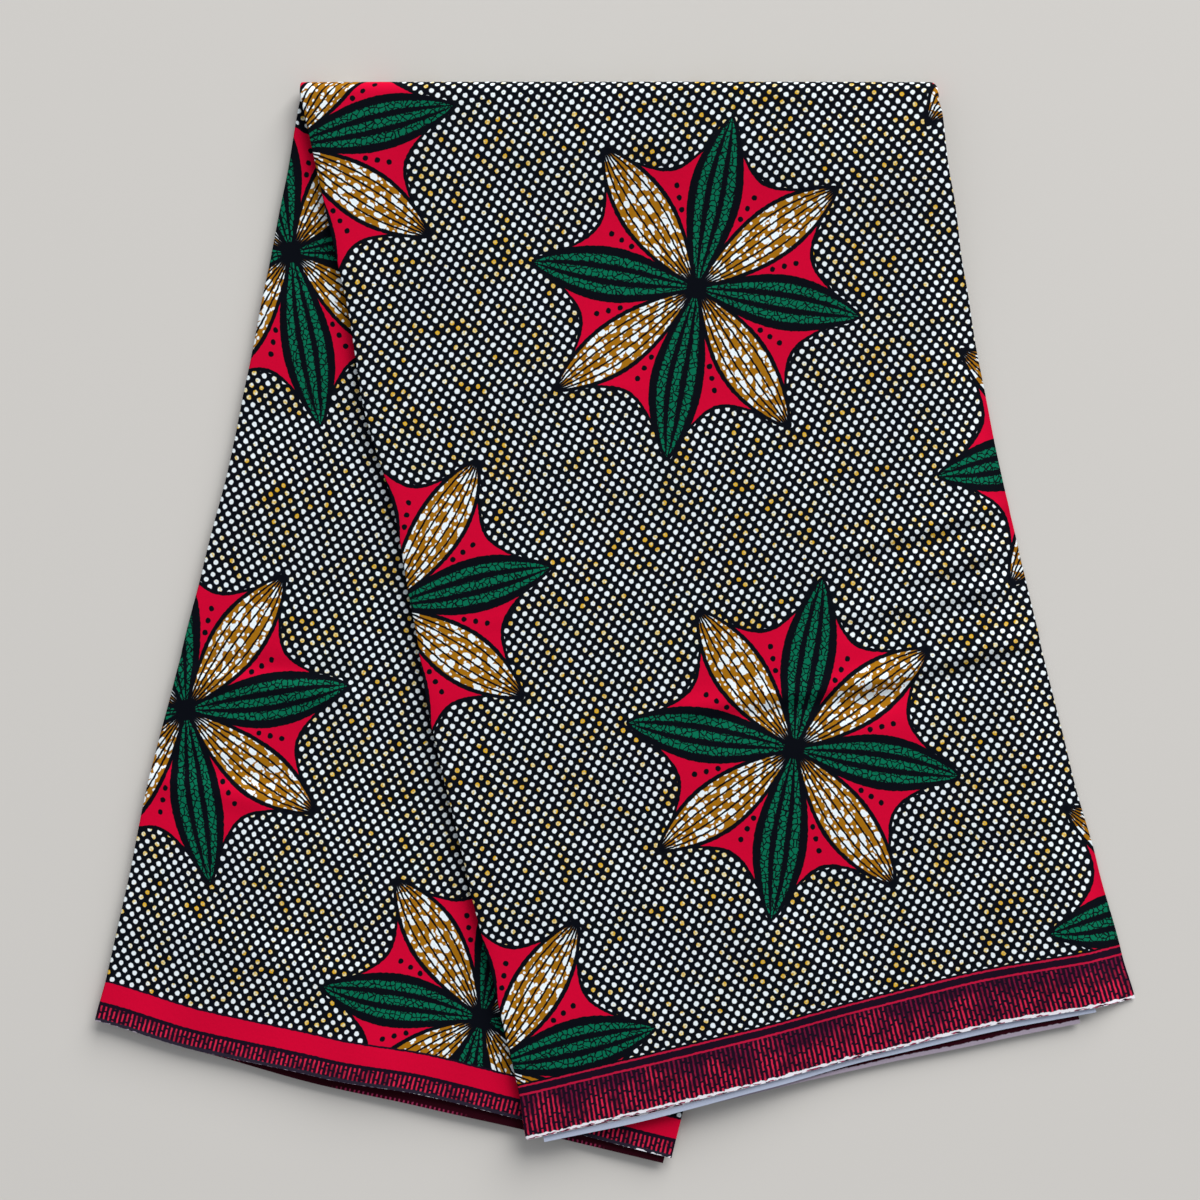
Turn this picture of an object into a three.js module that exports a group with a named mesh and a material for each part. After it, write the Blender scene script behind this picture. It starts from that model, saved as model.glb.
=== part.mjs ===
// A length of wax print cotton, folded and laid flat.
//
// The length is folded in a zigzag into a strip, and the strip is folded over once on a slant, so that
// two leaves lie on each other: the front leaf leans right, the back leaf under it leans left. The two
// share one rounded fold at the head. Both hems are selvedges.
//
// Millimetres, +Z up, the head of the folded cloth towards +Y. The plan sizes below are measured from
// the middle of the fold line; the whole is centred on its bounding box at the end.

import * as THREE from 'three';

// Driving dimensions
const stripWidth = 355;       // the zigzag-folded strip, side to side
const foldLength = 362.6;     // the slanted fold, corner to corner
const plyWall = 1.2;          // one visible ply, with its share of trapped air
const plyGap = 0.3;           // clear air between neighbouring plies
const leafThickness = 7.2;    // all the plies of one leaf
const leafGap = 0.6;          // clear air between the two leaves
const foldRadius = leafThickness + leafGap / 2;
const tuckLength = 60;        // how far a visible ply runs on past the fold
const hemPlyReach = 100;      // how far a loose ply runs back from the hem into the stack
const overhang = 26;          // the front leaf's top ply past the plies under it, at its right side
const rollLength = 100;       // the stretch below the fold that the roll still holds up
const rampStart = 12;         // how far past the back leaf the front leaf begins to sink
const rampLength = 90;        // the slope on which it sinks to the surface

// Plan corners of the two leaves, from the middle of the fold line
const corners = {
  foldLeft: new THREE.Vector2(-foldLength / 2, 0),
  foldRight: new THREE.Vector2(foldLength / 2, 0),
  frontHemLeft: new THREE.Vector2(-52.7, -602.6),
  frontHemRight: new THREE.Vector2(295.7, -524.2),
  backHemLeft: new THREE.Vector2(-299.2, -536.2),
  backHemRight: new THREE.Vector2(29.4, -614.6),
};

// Sideways bow of the long edges, by the share of the way from hem (0) to fold (1)
const edgeBows = [
  { at: 0, frontLeft: 0, frontRight: 0, backLeft: 0 },
  { at: 0.05, frontLeft: 1.7, frontRight: -2.0, backLeft: 1.2 },
  { at: 0.15, frontLeft: 0.7, frontRight: -4.6, backLeft: 1.2 },
  { at: 0.25, frontLeft: -1.2, frontRight: -7.6, backLeft: 0 },
  { at: 0.4, frontLeft: -3.0, frontRight: -9.2, backLeft: 2.6 },
  { at: 0.5, frontLeft: 0, frontRight: -9.9, backLeft: 4.2 },
  { at: 0.6, frontLeft: 2.2, frontRight: -10.3, backLeft: 6.0 },
  { at: 0.7, frontLeft: -2.4, frontRight: -9.5, backLeft: 5.0 },
  { at: 0.8, frontLeft: 0.7, frontRight: -7.4, backLeft: 3.6 },
  { at: 0.9, frontLeft: 0.2, frontRight: -4.3, backLeft: 2.3 },
  { at: 1, frontLeft: 0, frontRight: 0, backLeft: 0 },
];

// Where each hem lies, from the straight line between its corners, positive towards the fold, by the
// share of the way across from the left
const hemBows = [
  { at: 0, front: 0, second: -3.6, third: -2.6, back: 0, backSecond: 1.5 },
  { at: 0.17, front: 0.6, second: -4.4, third: -3.4, back: -3.3, backSecond: -3.8 },
  { at: 0.39, front: 1.4, second: -2.4, third: -3.6, back: -1.5, backSecond: -6.4 },
  { at: 0.57, front: 2.8, second: -0.4, third: -4.4, back: 2.2, backSecond: -5.2 },
  { at: 0.75, front: 3.9, second: 0.2, third: -5.6, back: 1.4, backSecond: -4.4 },
  { at: 1, front: 0, second: -0.6, third: -7.0, back: 0, backSecond: -4.4 },
];

// The largest creases: soft ridges (height above 0) and troughs (below 0) along straight runs
const frontCreases = [
  { fromX: 236, fromY: -322, toX: 150, toY: -346, spread: 17, height: -1.0 },
  { fromX: 150, fromY: -346, toX: 40, toY: -360, spread: 18, height: -0.7 },
  { fromX: 222, fromY: -292, toX: 138, toY: -318, spread: 15, height: 0.9 },
  { fromX: 230, fromY: -244, toX: 148, toY: -274, spread: 16, height: -0.9 },
  { fromX: 60, fromY: -54, toX: 168, toY: -78, spread: 22, height: -0.6 },
];
const backCreases = [
  { fromX: -250, fromY: -336, toX: -172, toY: -342, spread: 17, height: -0.9 },
  { fromX: -280, fromY: -388, toX: -212, toY: -404, spread: 16, height: -0.7 },
];

// The back leaf's top ply stands a little off the stack along its hem
const hemLift = { middle: 0.46, spread: 0.1, depth: 34, height: 2.6 };

const { lerp, smoothstep } = THREE.MathUtils;

function lookUp(rows, column, at) {
  const last = rows.length - 1;
  let next = 1;
  while (next < last && at > rows[next].at) next += 1;
  const before = rows[next - 1];
  const after = rows[next];
  const share = smoothstep(at, before.at, after.at);
  return lerp(before[column], after[column], share);
}

function creaseHeight(creases, x, y) {
  let height = 0;
  for (const crease of creases) {
    const run = new THREE.Line3(
      new THREE.Vector3(crease.fromX, crease.fromY, 0),
      new THREE.Vector3(crease.toX, crease.toY, 0),
    );
    const point = new THREE.Vector3(x, y, 0);
    const nearest = run.closestPointToPoint(point, true, new THREE.Vector3());
    const away = point.distanceTo(nearest) / crease.spread;
    height += crease.height * Math.exp(-away * away);
  }
  return height;
}

// Creases die out towards the fold, where the roll is held taut
function leafScale(creases, x, y) {
  const clearOfFold = smoothstep(-y, 2 * foldRadius, 5 * foldRadius);
  return 1 + clearOfFold * creaseHeight(creases, x, y) / leafThickness;
}

// Height of what the front leaf lies on: the back leaf, then down a slope to the surface
function frontFooting(x, y) {
  const top = leafThickness + leafGap;
  const down = y / corners.backHemRight.y;
  const backRight = lerp(corners.foldRight.x, corners.backHemRight.x, down);
  const past = smoothstep(x - backRight - rampStart, 0, rampLength);
  const belowRoll = smoothstep(-y, 2 * foldRadius, 2 * foldRadius + rollLength);
  return top * (1 - past * belowRoll);
}

// A point of the cloth: across the strip in mm from its left side, at a station along it, and at a
// depth in mm from the strip's outer face. Stations on a leaf run from hem (0) to fold (1).
function foldedPoint(across, station, depth) {
  const share = across / stripWidth;
  const foldX = lerp(corners.foldLeft.x, corners.foldRight.x, share);
  if (station.leg === 'fold') {
    const radius = foldRadius - depth;
    const y = radius * Math.sin(station.turn) - foldRadius;
    const z = radius * Math.cos(station.turn) + foldRadius;
    return new THREE.Vector3(foldX, y, z);
  }
  const front = station.leg === 'front';
  const hemLeft = front ? corners.frontHemLeft : corners.backHemLeft;
  const hemRight = front ? corners.frontHemRight : corners.backHemRight;
  const bows = {
    left: lookUp(edgeBows, front ? 'frontLeft' : 'backLeft', station.at),
    right: front ? lookUp(edgeBows, 'frontRight', station.at) : 0,
  };
  const hem = new THREE.Vector2().lerpVectors(hemLeft, hemRight, share);
  const head = new THREE.Vector2(foldX, -foldRadius);
  const towardsFold = new THREE.Vector2().subVectors(head, hem).normalize();
  const hemShift = lookUp(hemBows, station.hem ?? (front ? 'front' : 'back'), share);
  hem.addScaledVector(towardsFold, hemShift + (station.inset ?? 0));
  const plan = new THREE.Vector2().lerpVectors(hem, head, station.at);
  plan.x += lerp(bows.left, bows.right, share);
  if (front) {
    const scale = leafScale(frontCreases, plan.x, plan.y);
    const height = leafThickness - depth - (depth <= plyWall ? droop(across, plan.y) : 0);
    return new THREE.Vector3(plan.x, plan.y, frontFooting(plan.x, plan.y) + height * scale);
  }
  const scale = leafScale(backCreases, plan.x, plan.y);
  const loose = depth > leafThickness - plyWall - plyGap ? standOff(share, station.at) : 0;
  return new THREE.Vector3(plan.x, plan.y, depth * scale + loose);
}

// The front leaf's top ply sinks past the right side of the stack under it
function droop(across, y) {
  const edge = stripWidth - overhang + 2 * plyGap;
  const sunk = leafThickness - plyWall - plyGap;
  return sunk * smoothstep(across, edge, stripWidth) * smoothstep(-y, rollLength / 2, 1.5 * rollLength);
}

function standOff(share, at) {
  const sideways = (share - hemLift.middle) / hemLift.spread;
  const fromHem = at * Math.abs(corners.backHemLeft.y) / hemLift.depth;
  return hemLift.height * Math.exp(-sideways * sideways / 2 - fromHem * fromHem);
}

// Stations along and columns across that all the plies share, so that their faces run parallel
const hemShares = [0, 0.02, 0.06, 0.11, 0.16, 0.2];
const frontSteps = 14;
const backSteps = 8;
const foldSteps = 7;

function sharesToFold(steps) {
  const shares = [...hemShares];
  const hemEnd = hemShares[hemShares.length - 1];
  for (let step = 1; step <= steps; step += 1) shares.push(lerp(hemEnd, 0.9, step / steps));
  shares.push(0.95, 1);
  return shares;
}

const frontLeg = sharesToFold(frontSteps).map((at) => ({ leg: 'front', at }));
const backLeg = sharesToFold(backSteps).map((at) => ({ leg: 'back', at })).reverse();
const foldTurn = [];
for (let step = 1; step < foldSteps; step += 1) {
  foldTurn.push({ leg: 'fold', turn: Math.PI * step / foldSteps });
}

const leftColumns = [0, 5, 18];
const rightColumns = [44, 34, 24, 16, 8, 0];
const leftZone = leftColumns[leftColumns.length - 1];
const rightZone = rightColumns[0];
const middleColumns = 14;
const columns = [...leftColumns];
for (let step = 1; step < middleColumns; step += 1) {
  columns.push(lerp(leftZone, stripWidth - rightZone, step / middleColumns));
}
for (const fromRight of rightColumns) columns.push(stripWidth - fromRight);

// Columns of a ply that stops short of the strip's sides
function narrowed(across, leftInset, rightInset) {
  const rightStart = stripWidth - rightZone;
  if (across < leftZone) return leftInset + across * (1 - leftInset / leftZone);
  if (across <= rightStart) return across;
  return rightStart + (across - rightStart) * (1 - rightInset / rightZone);
}

// A closed solid from a lattice of points: stations along, columns across, levels through
function latticeSolid(stations, across, levels, place) {
  const positions = [];
  const index = [];
  const known = new Map();
  const corner = (i, j, k) => {
    const key = `${i},${j},${k}`;
    if (!known.has(key)) {
      known.set(key, positions.length / 3);
      positions.push(...place(stations[i], across[j], levels[k]).toArray());
    }
    return known.get(key);
  };
  const quad = (a, b, c, d, turned) => {
    if (turned) index.push(a, c, b, a, d, c);
    else index.push(a, b, c, a, c, d);
  };
  const lastI = stations.length - 1;
  const lastJ = across.length - 1;
  const lastK = levels.length - 1;
  for (let i = 0; i < lastI; i += 1) {
    for (let j = 0; j < lastJ; j += 1) {
      for (const k of [0, lastK]) {
        quad(corner(i, j, k), corner(i + 1, j, k), corner(i + 1, j + 1, k), corner(i, j + 1, k), k === 0);
      }
    }
    for (let k = 0; k < lastK; k += 1) {
      for (const j of [0, lastJ]) {
        quad(corner(i, j, k), corner(i + 1, j, k), corner(i + 1, j, k + 1), corner(i, j, k + 1), j !== 0);
      }
    }
  }
  for (let j = 0; j < lastJ; j += 1) {
    for (let k = 0; k < lastK; k += 1) {
      for (const i of [0, lastI]) {
        quad(corner(i, j, k), corner(i, j + 1, k), corner(i, j + 1, k + 1), corner(i, j, k + 1), i === 0);
      }
    }
  }
  const geometry = new THREE.BufferGeometry();
  geometry.setAttribute('position', new THREE.Float32BufferAttribute(positions, 3));
  geometry.setIndex(index);
  geometry.computeVertexNormals();
  return geometry;
}

const cloth = new THREE.Group();

function addPly(name, geometry, color) {
  const material = new THREE.MeshStandardMaterial({ color, roughness: 0.85, metalness: 0 });
  const mesh = new THREE.Mesh(geometry, material);
  mesh.name = name;
  cloth.add(mesh);
}

// A single ply between two depths
function ply(stations, outerDepth, leftInset, rightInset) {
  const levels = [outerDepth, outerDepth + plyWall];
  return latticeSolid(stations, columns, levels, (station, across, depth) => (
    foldedPoint(narrowed(across, leftInset, rightInset), station, depth)
  ));
}

const depths = {
  front: 0,
  frontSecond: plyWall + plyGap,
  frontThird: 2 * (plyWall + plyGap),
  backSecond: leafThickness - 2 * plyWall - plyGap,
  back: leafThickness - plyWall,
};

const frontHeight = Math.abs(corners.frontHemLeft.y);
const backHeight = Math.abs(corners.backHemLeft.y);

function frontLeafPly() {
  const tucked = backLeg.filter((station) => (1 - station.at) * backHeight < tuckLength);
  return ply([...frontLeg, ...foldTurn, ...tucked], depths.front, 0, 0);
}

function backLeafPly() {
  const tucked = frontLeg.filter((station) => (1 - station.at) * frontHeight < tuckLength);
  return ply([...tucked, ...foldTurn, ...backLeg], depths.back, 0, 0);
}

// A loose ply at a hem: it reaches past the top ply's hem and back into the stack
function hemPly(leg, hem, depth, leftInset, rightInset) {
  const height = leg === 'front' ? frontHeight : backHeight;
  const inside = hemShares.filter((at) => at > 0 && at * height < hemPlyReach);
  const stations = [{ leg, at: 0, hem }, ...inside.map((at) => ({ leg, at }))];
  if (leg === 'back') stations.reverse();
  return ply(stations, depth, leftInset, rightInset);
}

// The plies in between: one solid, its sides and ends stepped like the folded edges of a stack
const sideSteps = [1.8, 0.8, 2.0, 1.0, 2.2, 0.9, 1.9];
const endSteps = [3.0, 5.5, 2.5, 6.0, 3.5, 5.0, 2.0];

function coreDepths(station) {
  const full = { outer: depths.frontSecond, inner: depths.back - plyGap };
  if (station.leg === 'fold') return full;
  const front = station.leg === 'front';
  const fromHem = station.at * (front ? frontHeight : backHeight);
  const fromFold = (1 - station.at) * (front ? frontHeight : backHeight);
  const tucked = fromFold < tuckLength;
  const atHem = fromHem < hemPlyReach;
  if (front) {
    return {
      outer: atHem ? depths.frontThird + plyWall + plyGap : full.outer,
      inner: tucked ? full.inner : leafThickness,
    };
  }
  return {
    outer: tucked ? full.outer : 0,
    inner: atHem ? depths.backSecond - plyGap : full.inner,
  };
}

function hiddenPlies() {
  const stations = [...frontLeg, ...foldTurn, ...backLeg];
  const levels = [...sideSteps.keys()];
  const lastLevel = levels.length - 1;
  return latticeSolid(stations, columns, levels, (station, across, level) => {
    const { outer, inner } = coreDepths(station);
    const depth = lerp(outer, inner, level / lastLevel);
    let rightInset = sideSteps[level];
    if (station.leg === 'front') {
      rightInset += overhang * smoothstep((1 - station.at) * frontHeight, 0, rollLength / 2);
    }
    const placed = narrowed(across, sideSteps[level], rightInset);
    const inset = station.at === 0 ? endSteps[level] : 0;
    return foldedPoint(placed, { ...station, inset }, depth);
  });
}

addPly('front_leaf', frontLeafPly(), '#3b3a40');
addPly('back_leaf', backLeafPly(), '#403d44');
addPly('front_hem_ply_2', hemPly('front', 'second', depths.frontSecond, 9, overhang), '#8f8f9c');
addPly('front_hem_ply_3', hemPly('front', 'third', depths.frontThird, 11, overhang + 8), '#5a1f2e');
addPly('back_hem_ply_2', hemPly('back', 'backSecond', depths.backSecond, 2, 4), '#5a1f2e');
addPly('hidden_plies', hiddenPlies(), '#2c2b33');

// Centre the whole on its bounding box, the underside on the surface
const box = new THREE.Box3().setFromObject(cloth);
const middle = box.getCenter(new THREE.Vector3());
cloth.position.set(-middle.x, -middle.y, -box.min.z);

export default cloth;
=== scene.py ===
import bpy
import math
import numpy as np
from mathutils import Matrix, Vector


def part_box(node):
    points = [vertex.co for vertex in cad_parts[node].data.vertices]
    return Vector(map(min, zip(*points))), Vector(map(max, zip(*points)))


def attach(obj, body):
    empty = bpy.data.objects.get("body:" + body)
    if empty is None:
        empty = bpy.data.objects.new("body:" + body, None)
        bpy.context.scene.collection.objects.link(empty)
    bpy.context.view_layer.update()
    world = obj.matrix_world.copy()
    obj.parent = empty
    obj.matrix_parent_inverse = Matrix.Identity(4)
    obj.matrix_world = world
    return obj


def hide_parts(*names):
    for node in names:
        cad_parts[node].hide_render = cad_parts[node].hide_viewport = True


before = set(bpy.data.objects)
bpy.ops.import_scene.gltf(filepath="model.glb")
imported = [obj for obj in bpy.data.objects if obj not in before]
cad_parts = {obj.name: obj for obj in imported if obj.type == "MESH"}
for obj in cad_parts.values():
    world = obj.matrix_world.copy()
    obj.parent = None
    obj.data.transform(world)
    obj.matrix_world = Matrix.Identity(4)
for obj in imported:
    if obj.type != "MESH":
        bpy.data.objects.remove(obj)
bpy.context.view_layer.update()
mm = 0.001

# One length of cotton, folded in a zigzag into a strip, and the strip folded over once on a slant.
# Plan sizes are in millimetres from the middle of the fold line, +y towards the head.
cut = {
    "clothWidth": 1168,  # selvedge to selvedge, over the fold
    "stripWidth": 355,
    "foldLength": 362.6,
    "leafThickness": 7.2,
    "leafGap": 0.6,
    "weave": 0.3,  # thickness of the cotton itself
    "tuck": 34,  # how far a visible ply runs on past the fold
    "overhang": 26,  # the front leaf's top ply past the plies under it
    "rollLength": 100,
    "cornerRound": 4.5,  # right end of the fold
    "puff": 2.4,  # how far the roll of the fold stands above the leaf
    "puffLength": 60,
    "rampStart": 12,
    "rampLength": 90,
    "cornerReach": 8,  # how far from the fold its right corner is rounded
    "droopStart": 0.6,  # the overhanging ply sinks from just inside the plies under it
    "droopRest": 1.5,  # what is left of its height at its edge
    "turnedUnder": 14,  # of a leaf's left side, into the next ply
    "leafRun": 560,  # a leaf from hem to fold, as a round mean
    "hemRun": 580,  # the same where a place is measured from the hem
}
corners = {
    "frontHem": ((-52.7, -602.6), (295.7, -524.2)),  # left, right
    "backHem": ((-299.2, -536.2), (29.4, -614.6)),
}
foldRadius = cut["leafThickness"] + cut["leafGap"] / 2

# Sideways bow of the long edges, by the share of the way from hem to fold
edgeBows = {
    "at": (0, 0.05, 0.15, 0.25, 0.4, 0.5, 0.6, 0.7, 0.8, 0.9, 1),
    "frontLeft": (0, 1.7, 0.7, -1.2, -3.0, 0, 2.2, -2.4, 0.7, 0.2, 0),
    "frontRight": (0, -2.0, -4.6, -7.6, -9.2, -9.9, -10.3, -9.5, -7.4, -4.3, 0),
    "backLeft": (0, 1.2, 1.2, 0, 2.6, 4.2, 6.0, 5.0, 3.6, 2.3, 0),
}
# Where each hem lies, from the straight line between its corners, positive towards the fold
hemBows = {
    "at": (0, 0.17, 0.39, 0.57, 0.75, 1),
    "front": (0, 0.6, 1.4, 2.8, 3.9, 0),
    "second": (-3.6, -4.4, -2.4, -0.4, 0.0, -2.6),
    "third": (-2.6, -3.4, -3.6, -4.4, -5.6, -7.0),
    "back": (0, -3.3, -1.5, 2.2, 1.4, 0),
    "backSecond": (1.5, -3.8, -6.4, -5.2, -4.4, -4.4),
}

# Creases: straight soft runs, a ridge where the height is above 0, a trough where it is below. A
# step is a ridge on the left of its run and a trough on the right.
frontCreases = [
    {"start": (40, -362), "end": (150, -346), "spread": 7, "height": 2.3, "kind": "step"},
    {"start": (138, -348), "end": (242, -320), "spread": 8, "height": 3.1, "kind": "step"},
    {"start": (128, -272), "end": (228, -243), "spread": 5.5, "height": 2.2, "kind": "step"},
    {"start": (165, -288), "end": (234, -266), "spread": 6, "height": 2.3, "kind": "step"},
    {"start": (132, -308), "end": (214, -293), "spread": 7, "height": 1.7, "kind": "step"},
    {"start": (206, -291), "end": (246, -283), "spread": 5, "height": 1.4, "kind": "ridge"},
    {"start": (60, -390), "end": (214, -356), "spread": 9, "height": 0.8, "kind": "ridge"},
    {"start": (166, -146), "end": (204, -126), "spread": 6, "height": 1.1, "kind": "step"},
    {"start": (160, -190), "end": (206, -196), "spread": 8, "height": -0.8, "kind": "trough"},
    {"start": (-60, -36), "end": (165, -54), "spread": 26, "height": 1.8, "kind": "ridge"},
    {"start": (-140, -174), "end": (4, -175), "spread": 3, "height": 0.5, "kind": "ridge"},
    {"start": (-102, -312), "end": (-20, -300), "spread": 3, "height": 0.5, "kind": "ridge"},
    {"start": (180, -436), "end": (270, -420), "spread": 11, "height": 0.9, "kind": "step"},
    {"start": (60, -470), "end": (130, -520), "spread": 16, "height": 1.0, "kind": "ridge"},
    {"start": (-30, -230), "end": (70, -214), "spread": 18, "height": 0.8, "kind": "ridge"},
    {"start": (-60, -400), "end": (10, -440), "spread": 14, "height": -0.8, "kind": "trough"},
]
backCreases = [
    {"start": (-252, -334), "end": (-160, -344), "spread": 8, "height": -1.6, "kind": "step"},
    {"start": (-286, -388), "end": (-205, -404), "spread": 9, "height": -1.4, "kind": "step"},
    {"start": (-236, -200), "end": (-170, -186), "spread": 8, "height": -0.8, "kind": "trough"},
    {"start": (-210, -130), "end": (-168, -124), "spread": 7, "height": 0.8, "kind": "ridge"},
    {"start": (-270, -470), "end": (-160, -500), "spread": 14, "height": -0.9, "kind": "step"},
]

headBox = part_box("front_leaf")
origin = (headBox[1][0] - corners["frontHem"][1][0] * mm, headBox[1][1])


def lerp(first, second, share):
    return first + (second - first) * share


def smooth(value, low, high):
    share = np.clip((value - low) / (high - low), 0, 1)
    return share * share * (3 - 2 * share)


def lookUp(rows, column, at):
    places, heights = np.array(rows["at"]), np.array(rows[column])
    after = np.clip(np.searchsorted(places, at), 1, len(places) - 1)
    return lerp(heights[after - 1], heights[after], smooth(at, places[after - 1], places[after]))


creaseForm = {
    "startShare": 0.55, "growth": 0.45,  # a crease grows from its start to its end
    "stepScale": 2.33,  # makes a step as high at its peak as a ridge of the same height
    "stepReach": 2,
}


def creaseHeight(creases, x, y):
    height = np.zeros_like(x)
    for crease in creases:
        start, end = np.array(crease["start"], float), np.array(crease["end"], float)
        run = end - start
        along = np.clip(((x - start[0]) * run[0] + (y - start[1]) * run[1]) / (run @ run), 0, 1)
        away = np.hypot(x - start[0] - run[0] * along, y - start[1] - run[1] * along) / crease["spread"]
        soft = np.exp(-away * away) * (creaseForm["startShare"] + creaseForm["growth"] * along)
        if crease["kind"] == "step":
            side = (run[0] * (y - start[1]) - run[1] * (x - start[0])) / np.hypot(*run) / crease["spread"]
            reach = creaseForm["stepReach"]
            soft = soft * creaseForm["stepScale"] * np.clip(side, -reach, reach)
        height += crease["height"] * soft
    return height


def leafScale(creases, x, y, buried):
    clearOfFold = smooth(-y, 2 * foldRadius, 5 * foldRadius)
    scale = 1 + clearOfFold * creaseHeight(creases, x, y) / cut["leafThickness"]
    return np.minimum(scale, 1) if buried else scale


def frontFooting(x, y):  # the back leaf, then down a slope to the surface
    backRight = lerp(cut["foldLength"] / 2, corners["backHem"][1][0], y / corners["backHem"][1][1])
    past = smooth(x - backRight - cut["rampStart"], 0, cut["rampLength"])
    belowRoll = smooth(-y, 2 * foldRadius, 2 * foldRadius + cut["rollLength"])
    return (cut["leafThickness"] + cut["leafGap"]) * (1 - past * belowRoll)


def droop(across, y):  # the front leaf's top ply sinks past the right side of the stack
    sunk = cut["leafThickness"] - cut["droopRest"]
    past = smooth(across, cut["stripWidth"] - cut["overhang"] + cut["droopStart"], cut["stripWidth"])
    return sunk * past * smooth(-y, cut["rollLength"] / 2, 1.5 * cut["rollLength"])


hemLift = {"height": 2.6, "middle": 0.46, "halfWidth": 0.1, "leafLength": 536, "reach": 34}


def standOff(share, at):  # the back leaf's top ply stands a little off the stack at its hem
    sideways = (share - hemLift["middle"]) / hemLift["halfWidth"]
    fromHem = at * hemLift["leafLength"] / hemLift["reach"]
    return hemLift["height"] * np.exp(-sideways * sideways / 2 - fromHem * fromHem)


def leafPlan(share, at, leg, hemShift):
    (leftX, leftY), (rightX, rightY) = corners["frontHem" if leg == "front" else "backHem"]
    hemX, hemY = lerp(leftX, rightX, share), lerp(leftY, rightY, share)
    headX, headY = lerp(-cut["foldLength"] / 2, cut["foldLength"] / 2, share), -foldRadius
    length = np.hypot(headX - hemX, headY - hemY)
    hemX, hemY = hemX + (headX - hemX) / length * hemShift, hemY + (headY - hemY) / length * hemShift
    left = lookUp(edgeBows, leg + "Left", at)
    right = lookUp(edgeBows, "frontRight", at) if leg == "front" else 0
    x = lerp(hemX, headX, at) + lerp(left, right, np.clip(share, 0, 1))
    return x, lerp(hemY, headY, at), length - hemShift


# A point of the cloth: across the strip, along its path (0 front hem, 1 to 2 round the fold, 3 back
# hem), and at a depth from the strip's outer face. Also its distance from each selvedge.
def foldedPoint(across, path, depth, frontHem="front", backHem="back", looseTop=False, buried=False):
    share = across / cut["stripWidth"]
    inside = np.clip(share, 0, 1)
    frontBow, backBow = lookUp(hemBows, frontHem, inside), lookUp(hemBows, backHem, inside)
    frontX, frontY, frontRun = leafPlan(share, np.minimum(path, 1), "front", frontBow)
    backX, backY, backRun = leafPlan(share, np.minimum(3 - path, 1), "back", backBow)
    height = cut["leafThickness"] - depth - (droop(across, frontY) if looseTop else 0)
    frontZ = frontFooting(frontX, frontY) + height * leafScale(frontCreases, frontX, frontY, buried)
    loose = standOff(inside, 3 - path) if looseTop else 0
    backZ = depth * leafScale(backCreases, backX, backY, buried) + loose
    turn = np.clip(path - 1, 0, 1) * math.pi
    radius = foldRadius - depth
    foldX = lerp(-cut["foldLength"] / 2, cut["foldLength"] / 2, share)
    onFront, onBack = path <= 1, path >= 2
    x = np.where(onFront, frontX, np.where(onBack, backX, foldX))
    y = np.where(onFront, frontY, np.where(onBack, backY, radius * np.sin(turn) - foldRadius))
    pastFold, beforeFold = np.maximum(path - 2, 0) * backRun, np.maximum(1 - path, 0) * frontRun
    fromFold = pastFold + beforeFold
    corner = cut["cornerRound"]
    pastCorner = np.clip(across - cut["stripWidth"] + corner, 0, corner)
    cutBack = corner - np.sqrt(corner * corner - pastCorner**2)
    y = y - cutBack * np.exp(-((fromFold / cut["cornerReach"]) ** 2))
    rollZ = radius * np.cos(turn) + foldRadius
    z = np.where(onFront, frontZ, np.where(onBack, backZ, rollZ))
    puffed = np.where(onFront, np.exp(-((fromFold / cut["puffLength"]) ** 2)), 0.5 + 0.5 * np.cos(turn))
    z = z + cut["puff"] * puffed * np.sin(inside * math.pi) ** 0.5 * (1 - depth / cut["leafThickness"])
    fromFront = np.minimum(path, 1) * frontRun + turn * radius + pastFold
    fromBack = np.minimum(3 - path, 1) * backRun + (math.pi - turn) * radius + beforeFold
    return x, y, z, fromFront, fromBack


def clearScene():
    unwanted = [item for item in bpy.context.scene.objects if item.type in {"LIGHT", "CAMERA"}]
    for item in unwanted:
        bpy.data.objects.remove(item)


# A sheet of cotton: a grid of columns across and rows along, each point placed by a function that
# gives its place and its place on the flat cloth, all in millimetres
def clothSheet(name, acrossStops, pathStops, place):
    bpy.ops.object.select_all(action="DESELECT")
    bpy.ops.mesh.primitive_grid_add(
        x_subdivisions=len(acrossStops) - 1, y_subdivisions=len(pathStops) - 1, size=2
    )
    sheet = bpy.context.object
    sheet.name = sheet.data.name = name
    mesh = sheet.data
    points = np.empty(len(mesh.vertices) * 3)
    mesh.vertices.foreach_get("co", points)
    points = points.reshape(-1, 3)
    column = np.rint((points[:, 0] + 1) / 2 * (len(acrossStops) - 1)).astype(int)
    row = np.rint((points[:, 1] + 1) / 2 * (len(pathStops) - 1)).astype(int)
    x, y, z, lengthwise, widthwise = place(np.array(acrossStops)[column], np.array(pathStops)[row])
    placed = np.stack([x * mm + origin[0], y * mm + origin[1], z * mm], axis=1)
    mesh.vertices.foreach_set("co", placed.ravel())
    corner = np.empty(len(mesh.loops), dtype=np.int32)
    mesh.loops.foreach_get("vertex_index", corner)
    flat = np.stack([lengthwise * mm, widthwise * mm], axis=1)[corner]
    mesh.uv_layers.active.name = "cloth"
    mesh.uv_layers.active.data.foreach_set("uv", flat.ravel())
    mesh.update()
    thicken = sheet.modifiers.new("weave", "SOLIDIFY")
    thicken.thickness = cut["weave"] * mm
    thicken.offset = -1
    bpy.ops.object.modifier_apply(modifier=thicken.name)
    bpy.ops.object.shade_smooth_by_angle(angle=math.radians(50))
    sheet.data.materials.append(printMaterial)
    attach(sheet, "root")
    print("made", name, len(sheet.data.polygons), "faces")
    return sheet


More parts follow.
